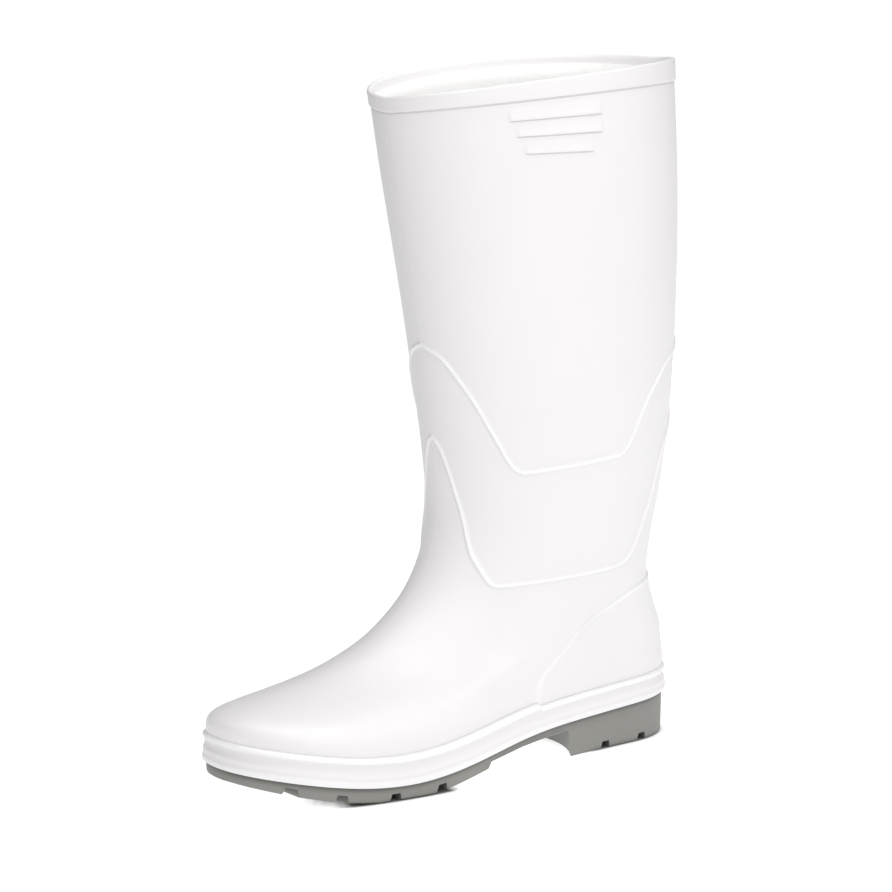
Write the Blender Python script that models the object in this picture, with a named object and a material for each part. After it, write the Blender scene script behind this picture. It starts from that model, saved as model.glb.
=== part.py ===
"""A left PVC wellington boot: white upper, white foxing, grey outsole and a loose insole.

Sizes are in millimetres. "along" runs from the back of the heel to the toe, "across" is positive on the
outer side of the foot, "height" is above the floor. In the scene the toe points to -Y, the outer side to +X.
"""
import bmesh
import bpy
import numpy as np

MM = 0.001
JOINT_GAP = 0.3

# The last: one row for each section from the sole edge to the collar, each a closed loop round the boot
SECTION_COLUMNS = ("front_along", "front_height", "back_along", "back_height",
                   "half_width", "foot_share", "heel_round", "toe_round")
SECTIONS = (
    (280.8, 24.0, 4.8, 31.0, 50.0, 1.00, 38.0, 58.0),
    (283.2, 37.0, 3.0, 40.0, 50.0, 1.00, 38.0, 60.0),
    (276.5, 45.0, 2.6, 47.0, 47.5, 0.97, 39.0, 70.0),
    (252.5, 51.0, 2.6, 54.0, 44.0, 0.88, 41.0, 98.0),
    (226.0, 56.5, 2.8, 61.0, 41.5, 0.74, 43.0, 125.0),
    (204.0, 64.0, 5.5, 68.0, 40.5, 0.58, 46.0, 130.0),
    (185.0, 75.0, 8.2, 75.0, 40.5, 0.40, 50.0, 120.0),
    (168.0, 90.0, 10.6, 83.0, 41.0, 0.25, 55.0, 108.0),
    (155.5, 110.0, 11.6, 93.0, 42.5, 0.10, 62.0, 88.0),
    (149.0, 137.0, 10.0, 107.0, 44.5, 0.03, 68.0, 72.0),
    (151.0, 171.0, 4.4, 134.0, 47.5, 0.00, 73.3, 73.3),
    (157.0, 213.0, -1.6, 182.0, 52.0, 0.00, 79.3, 79.3),
    (165.0, 262.0, -4.0, 243.0, 56.5, 0.00, 84.5, 84.5),
    (174.7, 314.0, -2.7, 309.0, 60.3, 0.00, 88.7, 88.7),
    (181.5, 354.5, 2.0, 370.0, 62.5, 0.00, 89.8, 89.8),
)
TOP_LEVEL = len(SECTIONS) - 1

# Plan of the foot by share of its length: share of the ball width on each side, and bend of the middle line
PLAN_COLUMNS = ("station", "outer_side", "inner_side", "axis_shift")
PLAN = (
    (0.00, 0.68, 0.68, 0.0),
    (0.14, 0.68, 0.68, 0.5),
    (0.40, 0.80, 0.72, 1.5),
    (0.62, 0.99, 0.91, 1.5),
    (0.73, 0.985, 0.99, 0.5),
    (0.86, 0.90, 0.96, -2.2),
    (1.00, 0.72, 0.84, -6.5),
)
SHAFT_ROUNDNESS = 2.0
FOOT_ROUNDNESS = 2.3

# The collar stands a little higher at its two sides than a straight cut from front to back
COLLAR_RISE = 5.0
COLLAR_RISE_POWER = 1.2
COLLAR_RISE_START = 12.0

# Underside of the foxing: along, height
SOLE_LINE = ((0.0, 25.0), (70.0, 21.0), (125.0, 18.0), (170.0, 11.7),
             (205.0, 8.3), (240.0, 10.7), (284.0, 17.3))
SOLE_FADE_LEVEL = 5.0
PLATE_HEIGHT = 6.0

# Upper: wall, collar band, beads, heel counter, back spine and the short ribs under the collar.
# The tables of the beads and of the counter's edge hold degrees from the back and height
WALL = 2.2
BAND_LEVEL = 13.79
BAND_LIFT = 0.9
COLLAR_EDGE_LEVEL = 13.98
EDGE_SLOPE = 0.6
BEAD_HALF_WIDTH = 0.9
BEAD_LIFT = 1.0
UPPER_BEAD = ((0, 228), (50, 209), (66, 190), (75, 164), (130, 158), (150, 199), (165, 220), (180, 226))
LOWER_BEAD = ((0, 200), (43, 161), (58, 108), (67, 102), (130, 97.5),
              (150, 117), (165, 150), (172, 170), (180, 177))
BEAD_SOFTENING = (-4.0, -2.0, 0.0, 2.0, 4.0)
COUNTER_EDGE = ((0, 91), (41, 87.5), (57, 84.5), (68, 79.5), (75, 72), (77.5, 66))
COUNTER_END = 77.5
COUNTER_END_STEP = 1.0
COUNTER_LIFT = 0.8
SPINE_LIFT = 0.9
SPINE_WIDTH = 7.0
SPINE_HEIGHTS = (86.0, 96.0, 215.0, 235.0)
# Ribs: level, first degree, last degree
RIBS = ((13.245, 94.5, 119.5), (13.425, 90.5, 122.0), (13.6, 90.5, 124.5))
RIB_HALF_WIDTH = 1.2
RIB_LIFT = 0.9
RIB_END_DEGREES = 0.8

# Mesh rows in each zone of the upper, and columns round it
ROWS_FOOT = 9
ROWS_ANKLE = 6
ROWS_BETWEEN_BEADS = 4
ROWS_SHAFT = 6
OUTER_COLUMNS = 64
INNER_COLUMNS = 32
INNER_LEVELS = (0, 0.36, 0.8, 1.3, 1.9, 2.5, 3.2, 4, 5, 6, 7, 8, 9, 10, 11, 12, 13, 14)
COLUMN_CLEARANCE = 1.6
ANGLE_SLACK = 0.01
PROBE_STEP = 0.002
LEVEL_HALVINGS = 40
STEEPEST_STRETCH = 3.0

# Foxing: how far it stands out from the upper, and its side from the lip up: inset, rise above the sole line
LIP_OUT = 4.0
FOXING_SIDE = ((0.5, 0.0), (0.0, 0.5), (0.0, 3.0), (0.5, 3.6), (0.5, 6.6), (0.8, 7.4), (1.3, 8.7),
               (1.5, 10.2), (1.3, 11.6), (0.6, 12.3), (0.4, 13.5), (0.7, 14.8))
FOXING_INNER_RISES = (14.8, 10.0)
FOXING_HEEL_SHARE = 0.88

# Outsole: tread heights along the foot, cross grooves, side taper and the hollow front of the heel
OUTSOLE_INSET = 2.0
OUTSOLE_TAPER = 0.975
TREAD = ((2.0, 2.0), (6.0, 0.0), (88.0, 0.0), (90.0, 14.4), (100.0, 14.4), (125.0, 12.8), (150.0, 9.6),
         (152.0, 6.2), (175.0, 2.0), (190.0, 0.0), (222.0, 0.0), (240.0, 2.0), (260.0, 6.0), (282.0, 11.3))
GROOVES = (34.5, 61.5, 184.5, 212.5, 241.0, 263.0)
GROOVE_WIDTH = 5.0
GROOVE_DEPTH = 3.5
GROOVE_DRAFT = 0.6
OUTSOLE_STATIONS = 44
TIP_STATION = 0.25
OUTLINE_SAMPLES = 400
ACROSS_SHARES = (-1.0, -0.6, 0.0, 0.6, 1.0)
HEEL_FRONT_BOW = 14.0
HEEL_BOW_RUN = (54.0, 87.0, 92.0, 130.0)

INSOLE_THICKNESS = 4.0
INSOLE_GAP = 0.7

# Surface finish: colour, roughness
WHITE_PVC = ((0.86, 0.86, 0.84, 1.0), 0.38)
GREY_PVC = ((0.24, 0.24, 0.22, 1.0), 0.55)
INSOLE_FOAM = ((0.62, 0.62, 0.60, 1.0), 0.85)
SHARP_DEGREES = 35.0


def natural_spline(knots, values):
    """A cubic curve through the values, with no bend at its two ends."""
    knots = np.asarray(knots, float)
    values = np.asarray(values, float)
    gap = np.diff(knots)
    count = len(knots)
    system = np.eye(count)
    target = np.zeros(count)
    for i in range(1, count - 1):
        system[i, i - 1:i + 2] = gap[i - 1], 2 * (gap[i - 1] + gap[i]), gap[i]
        target[i] = 6 * ((values[i + 1] - values[i]) / gap[i] - (values[i] - values[i - 1]) / gap[i - 1])
    bend = np.linalg.solve(system, target)

    def curve(at):
        at = np.clip(np.asarray(at, float), knots[0], knots[-1])
        i = np.clip(np.searchsorted(knots, at, side="right") - 1, 0, count - 2)
        done = at - knots[i]
        left = knots[i + 1] - at
        cubic = (bend[i] * left ** 3 + bend[i + 1] * done ** 3) / (6 * gap[i])
        line = (values[i] / gap[i] - bend[i] * gap[i] / 6) * left
        return cubic + line + (values[i + 1] / gap[i] - bend[i + 1] * gap[i] / 6) * done

    return curve


def table_curves(columns, rows, knots):
    values = np.array(rows, float)
    return {name: natural_spline(knots, values[:, i]) for i, name in enumerate(columns)}


section = table_curves(SECTION_COLUMNS, SECTIONS, range(len(SECTIONS)))
plan = table_curves(PLAN_COLUMNS, PLAN, [row[0] for row in PLAN])
sole_line = natural_spline([row[0] for row in SOLE_LINE], [row[1] for row in SOLE_LINE])


def smooth_step(share):
    share = np.clip(share, 0.0, 1.0)
    return share * share * (3.0 - 2.0 * share)


def rise_and_fall(at, run):
    """Share that climbs from 0 to 1 and sinks back to 0 between the four places of a run."""
    start, full, last, end = run
    return smooth_step((at - start) / (full - start)) * smooth_step((end - at) / (end - last))


def rounded_end(distance, length, power):
    """Width share near a rounded end, at a distance from its tip."""
    share = np.clip(distance / length, 0.0, 1.0)
    return (1.0 - (1.0 - share) ** power) ** (1.0 / power)


def surface(angle, level):
    """Point of the last's skin; the angle starts at the back and turns by the outer side to the front."""
    angle, level = np.broadcast_arrays(np.asarray(angle, float), np.asarray(level, float))
    at = {name: curve(level) for name, curve in section.items()}
    station = (1.0 - np.cos(angle)) / 2.0
    length = at["front_along"] - at["back_along"]
    along = at["back_along"] + length * station
    height = at["back_height"] + (at["front_height"] - at["back_height"]) * station
    edge_height = SECTIONS[0][3] + (SECTIONS[0][1] - SECTIONS[0][3]) * station
    fade = smooth_step(1.0 - level / SOLE_FADE_LEVEL)
    height = height + fade * (sole_line(along) + PLATE_HEIGHT - edge_height)
    side = np.sign(np.sin(angle))
    collar_rise = COLLAR_RISE * np.abs(np.sin(angle)) ** COLLAR_RISE_POWER
    collar_share = (level - COLLAR_RISE_START) / (TOP_LEVEL - COLLAR_RISE_START)
    height = height + collar_rise * smooth_step(collar_share)
    foot = np.where(side >= 0, plan["outer_side"](station), plan["inner_side"](station))
    width = at["half_width"] * (1.0 + at["foot_share"] * (foot - 1.0))
    power = SHAFT_ROUNDNESS + (FOOT_ROUNDNESS - SHAFT_ROUNDNESS) * at["foot_share"]
    width = width * rounded_end(station * length, at["heel_round"], power)
    width = width * rounded_end((1.0 - station) * length, at["toe_round"], power)
    across = side * width + at["foot_share"] * plan["axis_shift"](station)
    return np.stack([across, -along, height], axis=-1)


def unit(vectors):
    return vectors / np.linalg.norm(vectors, axis=-1, keepdims=True)


def outward(angle, level):
    angle, level = np.broadcast_arrays(np.asarray(angle, float), np.asarray(level, float))
    round_boot = surface(angle + PROBE_STEP, level) - surface(angle - PROBE_STEP, level)
    above = surface(angle, np.minimum(level + PROBE_STEP, TOP_LEVEL))
    below = surface(angle, np.maximum(level - PROBE_STEP, 0.0))
    return unit(np.cross(above - below, round_boot))


def level_at(angle, height):
    """Level whose skin has the given height at each angle."""
    low = np.zeros_like(angle)
    high = np.full_like(angle, TOP_LEVEL)
    for _ in range(LEVEL_HALVINGS):
        middle = (low + high) / 2.0
        below = surface(angle, middle)[..., 2] < height
        low = np.where(below, middle, low)
        high = np.where(below, high, middle)
    return (low + high) / 2.0


def degrees_from_back(angle):
    """Angle folded to 0 at the back and 180 at the front, the same on both sides."""
    return np.abs((np.degrees(angle) + 180.0) % 360.0 - 180.0)


def soft_line(table, angle):
    """Height of a bead round the boot, its corners rounded."""
    degrees = degrees_from_back(angle)
    shifted = [np.interp(np.abs(degrees + shift), *zip(*table)) for shift in BEAD_SOFTENING]
    return np.mean(shifted, axis=0)


def spread_angles(count, exact_degrees):
    """Even angles round the boot, with some moved to exact places."""
    even = [360.0 * i / count for i in range(count)]
    kept = [a for a in even if all(abs(a - b) > COLUMN_CLEARANCE for b in exact_degrees)]
    return np.radians(sorted(kept + list(exact_degrees)))


counter_columns = [COUNTER_END, COUNTER_END + COUNTER_END_STEP]
counter_columns += [360.0 - column for column in counter_columns]
rib_columns = {start - RIB_END_DEGREES for _, start, _ in RIBS} | {start for _, start, _ in RIBS}
rib_columns |= {end + RIB_END_DEGREES for _, _, end in RIBS} | {end for _, _, end in RIBS}
outer_angles = spread_angles(OUTER_COLUMNS, counter_columns + list(rib_columns))
sole_angles = spread_angles(OUTER_COLUMNS, counter_columns)
inner_angles = spread_angles(INNER_COLUMNS, [])


def spine_lift(angle, height):
    across = np.exp(-(degrees_from_back(angle) / SPINE_WIDTH) ** 2)
    return SPINE_LIFT * across * rise_and_fall(height, SPINE_HEIGHTS)


def counter_lift(angle):
    return np.where(degrees_from_back(angle) <= COUNTER_END + ANGLE_SLACK, COUNTER_LIFT, 0.0)


def line_stretch(angle, height_of):
    """How much taller than wide a sloping bead is cut by an upright line."""
    rise = height_of(angle + PROBE_STEP) - height_of(angle - PROBE_STEP)
    level = level_at(angle, height_of(angle))
    run = np.linalg.norm(surface(angle + PROBE_STEP, level) - surface(angle - PROBE_STEP, level), axis=-1)
    return np.minimum(np.sqrt(1.0 + (rise / run) ** 2), STEEPEST_STRETCH)


def rows_between(start, end, count, lift):
    return [(start + (end - start) * i / count, lift) for i in range(1, count)]


def raised_line(angle, height, half_width, stretch, lift):
    """Four rows that follow a raised line: its foot, its two top edges and its foot again."""
    offsets = (-half_width - EDGE_SLOPE, -half_width, half_width, half_width + EDGE_SLOPE)
    levels = [level_at(angle, height + offset * stretch) for offset in offsets]
    return list(zip(levels, (lift * 0.0, lift, lift, lift * 0.0)))


def bead_rows(angle, table):
    def height_of(at):
        return soft_line(table, at)

    return raised_line(angle, height_of(angle), BEAD_HALF_WIDTH, line_stretch(angle, height_of), BEAD_LIFT)


def rib_rows(angle):
    rows = []
    degrees = np.degrees(angle)
    for level, start, end in RIBS:
        inside = (degrees >= start - ANGLE_SLACK) & (degrees <= end + ANGLE_SLACK)
        height = surface(angle, level)[..., 2]
        rows += raised_line(angle, height, RIB_HALF_WIDTH, 1.0, np.where(inside, RIB_LIFT, 0.0))
    return rows


def upper_rows(angle):
    """Levels and lifts of the upper's outer skin, row by row from the sole edge to the collar."""
    plain = np.zeros_like(angle)
    counter = counter_lift(angle)
    vamp_height = surface(angle, SOLE_FADE_LEVEL)[..., 2]
    counter_edge = np.interp(degrees_from_back(angle), *zip(*COUNTER_EDGE))
    counter_height = np.where(counter > 0, counter_edge, vamp_height)
    counter_low = level_at(angle, counter_height - EDGE_SLOPE)
    counter_high = level_at(angle, counter_height + EDGE_SLOPE)
    lower_bead = bead_rows(angle, LOWER_BEAD)
    upper_bead = bead_rows(angle, UPPER_BEAD)
    ribs = rib_rows(angle)
    band_height = surface(angle, BAND_LEVEL)[..., 2]
    rows = [(plain, counter)]
    rows += rows_between(plain, counter_low, ROWS_FOOT, counter)
    rows += [(counter_low, counter), (counter_high, plain)]
    rows += rows_between(counter_high, lower_bead[0][0], ROWS_ANKLE, plain)
    rows += lower_bead
    rows += rows_between(lower_bead[-1][0], upper_bead[0][0], ROWS_BETWEEN_BEADS, plain)
    rows += upper_bead
    rows += rows_between(upper_bead[-1][0], ribs[0][0], ROWS_SHAFT, plain)
    rows += ribs
    rows.append((level_at(angle, band_height), plain))
    rows.append((level_at(angle, band_height + EDGE_SLOPE), plain + BAND_LIFT))
    rows.append((plain + COLLAR_EDGE_LEVEL, plain + BAND_LIFT))
    rows.append((plain + TOP_LEVEL, plain + BAND_LIFT / 2))
    return rows


def skin(angle, level, lift):
    points = surface(angle, level)
    return points + outward(angle, level) * np.asarray(lift)[..., None]


def quads_between(first, second):
    count = len(first)
    return [(first[i], first[(i + 1) % count], second[(i + 1) % count], second[i]) for i in range(count)]


def ring_strip(ring, ring_angles, other, other_angles):
    """Triangles between two closed rings that have different numbers of points."""
    faces = []
    i = j = 0
    ends = np.append(ring_angles, ring_angles[0] + 2 * np.pi)
    other_ends = np.append(other_angles, other_angles[0] + 2 * np.pi)
    while i < len(ring) or j < len(other):
        here, there = ring[i % len(ring)], other[j % len(other)]
        if j == len(other) or (i < len(ring) and ends[i + 1] <= other_ends[j + 1]):
            faces.append((here, ring[(i + 1) % len(ring)], there))
            i += 1
        else:
            faces.append((here, other[(j + 1) % len(other)], there))
            j += 1
    return faces


def ladder(ring):
    """Faces that fill a ring from side to side, each column joined to its mirror column."""
    half = len(ring) // 2
    faces = [(ring[0], ring[1], ring[-1]), (ring[half - 1], ring[half], ring[half + 1])]
    for j in range(1, half - 1):
        faces.append((ring[j], ring[j + 1], ring[-j - 1], ring[-j]))
    return faces


class Shell:
    """Collects the rings and faces of one closed solid."""

    def __init__(self):
        self.points = []
        self.faces = []

    def ring(self, points):
        start = len(self.points)
        self.points.extend(np.asarray(points, float).tolist())
        return list(range(start, len(self.points)))


def upper_shell():
    shell = Shell()
    outer_rings = []
    for level, lift in upper_rows(outer_angles):
        height = surface(outer_angles, level)[..., 2]
        outer_rings.append(shell.ring(skin(outer_angles, level, lift + spine_lift(outer_angles, height))))
    inner_rings = []
    for level in INNER_LEVELS:
        points = skin(inner_angles, np.full_like(inner_angles, level), np.full_like(inner_angles, -WALL))
        if level in (0, TOP_LEVEL):
            points[:, 2] = surface(inner_angles, level)[:, 2]
        inner_rings.append(shell.ring(points))
    for rings in (outer_rings, inner_rings):
        for low, high in zip(rings, rings[1:]):
            shell.faces += quads_between(low, high)
    shell.faces += ring_strip(outer_rings[0], outer_angles, inner_rings[0], inner_angles)
    shell.faces += ring_strip(outer_rings[-1], outer_angles, inner_rings[-1], inner_angles)
    return shell


def lip_outline(angle, inset):
    """Plan of the sole's edge, pulled in from the lip by an inset."""
    points = surface(angle, 0.0)[..., :2]
    run = surface(angle + PROBE_STEP, 0.0)[..., :2] - surface(angle - PROBE_STEP, 0.0)[..., :2]
    normal = unit(np.stack([-run[..., 1], run[..., 0]], axis=-1))
    return points + normal * (LIP_OUT - inset)


def on_sole(plan_points, rise):
    return np.concatenate([plan_points, (sole_line(-plan_points[:, 1]) + rise)[:, None]], axis=1)


def midsole_shell():
    shell = Shell()
    share = np.where(counter_lift(sole_angles) > 0, FOXING_HEEL_SHARE, 1.0)
    rings = [shell.ring(on_sole(lip_outline(sole_angles, inset), rise * share))
             for inset, rise in FOXING_SIDE]
    edge = surface(sole_angles, 0.0)
    clear = counter_lift(sole_angles) + JOINT_GAP
    for rise in FOXING_INNER_RISES:
        height = sole_line(-edge[:, 1]) + rise * share
        rings.append(shell.ring(skin(sole_angles, level_at(sole_angles, height), clear)))
    floor_edge = edge + outward(sole_angles, 0.0) * clear[:, None]
    rings.append(shell.ring(on_sole(floor_edge[:, :2], PLATE_HEIGHT - JOINT_GAP)))
    for low, high in zip(rings, rings[1:]):
        shell.faces += quads_between(low, high)
    shell.faces += ladder(rings[0]) + ladder(rings[-1])
    return shell


def tread_profile():
    """Bottom line of the outsole with its cross grooves: along, height."""
    along, height = np.array(TREAD).T
    points = list(TREAD)
    for middle in GROOVES:
        floor_half = GROOVE_WIDTH / 2
        mouth_half = floor_half + GROOVE_DRAFT
        points = [point for point in points if abs(point[0] - middle) > mouth_half]
        offsets = (-mouth_half, -floor_half, floor_half, mouth_half)
        for offset, depth in zip(offsets, (0, GROOVE_DEPTH, GROOVE_DEPTH, 0)):
            points.append((middle + offset, float(np.interp(middle + offset, along, height)) + depth))
    return np.array(sorted(points)).T


def outsole_shell():
    shell = Shell()
    half_turn = np.linspace(0.0, np.pi, OUTLINE_SAMPLES)
    outer_edge = lip_outline(half_turn, OUTSOLE_INSET)
    inner_edge = lip_outline(-half_turn, OUTSOLE_INSET)
    first, last = -outer_edge[0, 1] + TIP_STATION, -outer_edge[-1, 1] - TIP_STATION
    profile_along, profile_height = tread_profile()
    even = first + (last - first) * (1.0 - np.cos(np.linspace(0.0, np.pi, OUTSOLE_STATIONS))) / 2.0
    sharp = [a for a in profile_along if first < a < last]
    stations = [a for a in even if all(abs(a - b) > COLUMN_CLEARANCE for b in sharp) or a in (first, last)]
    stations = sorted(set(stations) | set(sharp))
    rings = []
    for along in stations:
        outer = np.interp(along, -outer_edge[:, 1], outer_edge[:, 0])
        inner = np.interp(along, -inner_edge[:, 1], inner_edge[:, 0])
        top = float(sole_line(along)) - JOINT_GAP
        bottom = float(np.interp(along, profile_along, profile_height))
        middle, half = (outer + inner) / 2, (outer - inner) / 2
        top_edge = [(middle + half * share, -along, top) for share in ACROSS_SHARES]
        bow = HEEL_FRONT_BOW * float(rise_and_fall(along, HEEL_BOW_RUN))
        bottom_edge = [(middle + half * OUTSOLE_TAPER * share, bow * (1 - share ** 2) - along, bottom)
                       for share in ACROSS_SHARES]
        rings.append(shell.ring(top_edge + bottom_edge[::-1]))
    for low, high in zip(rings, rings[1:]):
        shell.faces += quads_between(low, high)
    shell.faces += [tuple(rings[0]), tuple(rings[-1])]
    return shell


def insole_shell():
    shell = Shell()
    base = PLATE_HEIGHT
    rings = []
    for level, rise in ((INNER_LEVELS[0], base), (INNER_LEVELS[1], base + INSOLE_THICKNESS)):
        levels = np.full_like(inner_angles, level)
        inside = skin(inner_angles, levels, np.full_like(inner_angles, -WALL - INSOLE_GAP))
        rings.append(shell.ring(on_sole(inside[:, :2], rise)))
    shell.faces += quads_between(*rings)
    shell.faces += ladder(rings[0]) + ladder(rings[1])
    return shell


def plastic(name, finish):
    colour, roughness = finish
    material = bpy.data.materials.new(name)
    material.use_nodes = True
    shader = material.node_tree.nodes["Principled BSDF"]
    shader.inputs["Base Color"].default_value = colour
    shader.inputs["Roughness"].default_value = roughness
    shader.inputs["Metallic"].default_value = 0.0
    return material


def add_solid(name, shell, shift, material):
    mesh = bpy.data.meshes.new(name)
    mesh.from_pydata((np.array(shell.points) * MM).tolist(), [], shell.faces)
    work = bmesh.new()
    work.from_mesh(mesh)
    bmesh.ops.triangulate(work, faces=work.faces[:])
    bmesh.ops.recalc_face_normals(work, faces=work.faces[:])
    for face in work.faces:
        face.smooth = True
    work.to_mesh(mesh)
    work.free()
    mesh.set_sharp_from_angle(angle=np.radians(SHARP_DEGREES))
    mesh.materials.append(material)
    body = bpy.data.objects.new(name, mesh)
    body.location = -shift * MM
    bpy.context.scene.collection.objects.link(body)


for old in list(bpy.data.objects):
    bpy.data.objects.remove(old)

shells = {
    "outsole": (outsole_shell(), plastic("grey_pvc", GREY_PVC)),
    "midsole": (midsole_shell(), plastic("white_pvc_foxing", WHITE_PVC)),
    "insole": (insole_shell(), plastic("insole_foam", INSOLE_FOAM)),
    "upper": (upper_shell(), plastic("white_pvc_upper", WHITE_PVC)),
}
every_point = np.concatenate([np.array(shell.points) for shell, _ in shells.values()])
low, high = every_point.min(axis=0), every_point.max(axis=0)
centre = np.array([(low[0] + high[0]) / 2, (low[1] + high[1]) / 2, 0.0])
for name, (shell, material) in shells.items():
    add_solid(name, shell, centre, material)
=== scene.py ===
"""A left PVC wellington boot: white upper, knitted lining, white foxing, grey outsole and a loose insole.

Sizes are in millimetres until a mesh is made. "along" runs from the back of the heel to the toe, "across" is
positive on the outer side of the foot, "height" is above the floor.
"""

import bmesh
import bpy
import numpy as np
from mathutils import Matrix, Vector


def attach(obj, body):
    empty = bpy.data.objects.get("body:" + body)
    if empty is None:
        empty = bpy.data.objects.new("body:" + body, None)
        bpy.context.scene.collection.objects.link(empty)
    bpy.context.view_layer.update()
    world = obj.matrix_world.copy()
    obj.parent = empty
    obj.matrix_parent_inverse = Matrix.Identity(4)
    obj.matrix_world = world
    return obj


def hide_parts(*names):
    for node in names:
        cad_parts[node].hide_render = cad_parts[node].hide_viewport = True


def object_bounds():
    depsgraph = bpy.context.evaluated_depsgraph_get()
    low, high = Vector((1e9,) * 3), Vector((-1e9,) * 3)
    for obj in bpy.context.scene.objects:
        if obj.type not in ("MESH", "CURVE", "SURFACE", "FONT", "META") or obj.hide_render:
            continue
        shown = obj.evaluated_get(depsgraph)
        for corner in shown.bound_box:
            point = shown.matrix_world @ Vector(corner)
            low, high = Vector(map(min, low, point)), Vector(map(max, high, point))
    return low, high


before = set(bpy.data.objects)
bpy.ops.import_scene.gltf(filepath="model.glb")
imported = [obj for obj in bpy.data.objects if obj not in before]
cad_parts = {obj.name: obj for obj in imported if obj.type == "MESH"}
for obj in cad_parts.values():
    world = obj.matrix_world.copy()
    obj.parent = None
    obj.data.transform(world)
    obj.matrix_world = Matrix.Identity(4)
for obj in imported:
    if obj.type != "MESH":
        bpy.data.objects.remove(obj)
cad_low, cad_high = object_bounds()

# Upper: the foot and shaft of the boot, one hollow moulding of white PVC about two millimetres thick.
# It is injected round a last in a split mould, so the collar band, the beads, the heel counter, the spine
# and the ribs are steps in its skin. Its sole edge is bonded into the foxing.
MM = 0.001
# The last: one row for each section from the sole edge to the collar, each a closed loop round the boot
SECTION_COLUMNS = ("front_along", "front_height", "back_along", "back_height",
                   "half_width", "foot_share", "heel_round", "toe_round")
SECTIONS = (
    (280.8, 24.0, 4.8, 31.0, 50.0, 1.00, 38.0, 58.0),
    (283.2, 37.0, 3.0, 40.0, 50.0, 1.00, 38.0, 60.0),
    (276.5, 45.0, 2.6, 47.0, 47.5, 0.97, 39.0, 70.0),
    (252.5, 51.0, 2.6, 54.0, 44.0, 0.88, 41.0, 98.0),
    (226.0, 56.5, 2.8, 61.0, 41.5, 0.74, 43.0, 125.0),
    (204.0, 64.0, 5.5, 68.0, 40.5, 0.58, 46.0, 130.0),
    (185.0, 75.0, 8.2, 75.0, 40.5, 0.40, 50.0, 120.0),
    (168.0, 90.0, 10.6, 83.0, 41.0, 0.25, 55.0, 108.0),
    (155.5, 110.0, 11.6, 93.0, 42.5, 0.10, 62.0, 88.0),
    (149.0, 137.0, 10.0, 107.0, 44.5, 0.03, 68.0, 72.0),
    (151.0, 171.0, 4.4, 134.0, 47.5, 0.00, 73.3, 73.3),
    (157.0, 213.0, -1.6, 182.0, 52.0, 0.00, 79.3, 79.3),
    (165.0, 262.0, -4.0, 243.0, 56.5, 0.00, 84.5, 84.5),
    (174.7, 314.0, -2.7, 309.0, 60.3, 0.00, 88.7, 88.7),
    (181.5, 354.5, 2.0, 370.0, 62.5, 0.00, 89.8, 89.8),
)
TOP_LEVEL = len(SECTIONS) - 1
# Plan of the foot by share of its length: share of the ball width on each side, bend of the middle line
PLAN_COLUMNS = ("station", "outer_side", "inner_side", "axis_shift")
PLAN = (
    (0.00, 0.68, 0.68, 0.0),
    (0.14, 0.68, 0.68, 0.5),
    (0.40, 0.80, 0.72, 1.5),
    (0.62, 0.99, 0.91, 1.5),
    (0.73, 0.985, 0.99, 0.5),
    (0.86, 0.90, 0.96, -2.2),
    (1.00, 0.72, 0.84, -6.5),
)
SHAFT_ROUNDNESS = 2.0
FOOT_ROUNDNESS = 2.3
# The collar stands a little higher at its two sides than a straight cut from front to back
COLLAR_RISE = 5.0
COLLAR_RISE_POWER = 1.2
COLLAR_RISE_START = 12.0
# Underside of the foxing: along, height
SOLE_LINE = ((0.0, 25.0), (70.0, 21.0), (125.0, 18.0), (170.0, 11.7),
             (205.0, 8.3), (240.0, 10.7), (284.0, 17.3))
SOLE_FADE_LEVEL = 5.0
PLATE_HEIGHT = 6.0
PROBE_STEP = 0.002
LEVEL_HALVINGS = 40

# Beads and counter edge: degrees from the back, height. Ribs: level, first degree, last degree
UPPER_BEAD = ((0, 228), (50, 209), (66, 190), (75, 164), (130, 158), (150, 199), (165, 220), (180, 226))
LOWER_BEAD = ((0, 200), (43, 161), (58, 108), (67, 102), (130, 97.5),
              (150, 117), (165, 150), (172, 170), (180, 177))
BEAD_SOFTENING = (-4.0, -2.0, 0.0, 2.0, 4.0)
STEEPEST_STRETCH = 3.0
BEAD_LIFT = 1.0
COUNTER_EDGE = ((0, 91), (41, 87.5), (57, 84.5), (68, 79.5), (75, 72), (77.5, 66))
COUNTER_END = 77.5
COUNTER_END_SOFT = 0.9
COUNTER_LIFT = 0.8
# The painted highlight on the counter's edge fades towards its front: degrees from the back, share of it
# kept, then painted highlight and half width in degrees of the front end itself
COUNTER_FADE = (58.0, 77.0)
COUNTER_HIGHLIGHT_KEPT = 0.3
COUNTER_FRONT_HIGHLIGHT = 0.3
COUNTER_FRONT_HALF = 0.6
RIBS = ((13.245, 94.5, 119.5), (13.425, 90.5, 122.0), (13.6, 90.5, 124.5))
RIB_LIFT = 0.9
RIB_END_DEGREES = 0.8
RIB_SPACING = 9.3
BAND_LEVEL = 13.79
BAND_LIFT = 0.9
SPINE_LIFT = 0.9
SPINE_WIDTH = 7.0
SPINE_HEIGHTS = (86.0, 96.0, 215.0, 235.0)
MOULD_LINE_LIFT = 0.09
MOULD_LINE_DEGREES = 0.55
MOULD_LINE_HEIGHTS = (40.0, 48.0, 335.0, 345.0)
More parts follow.
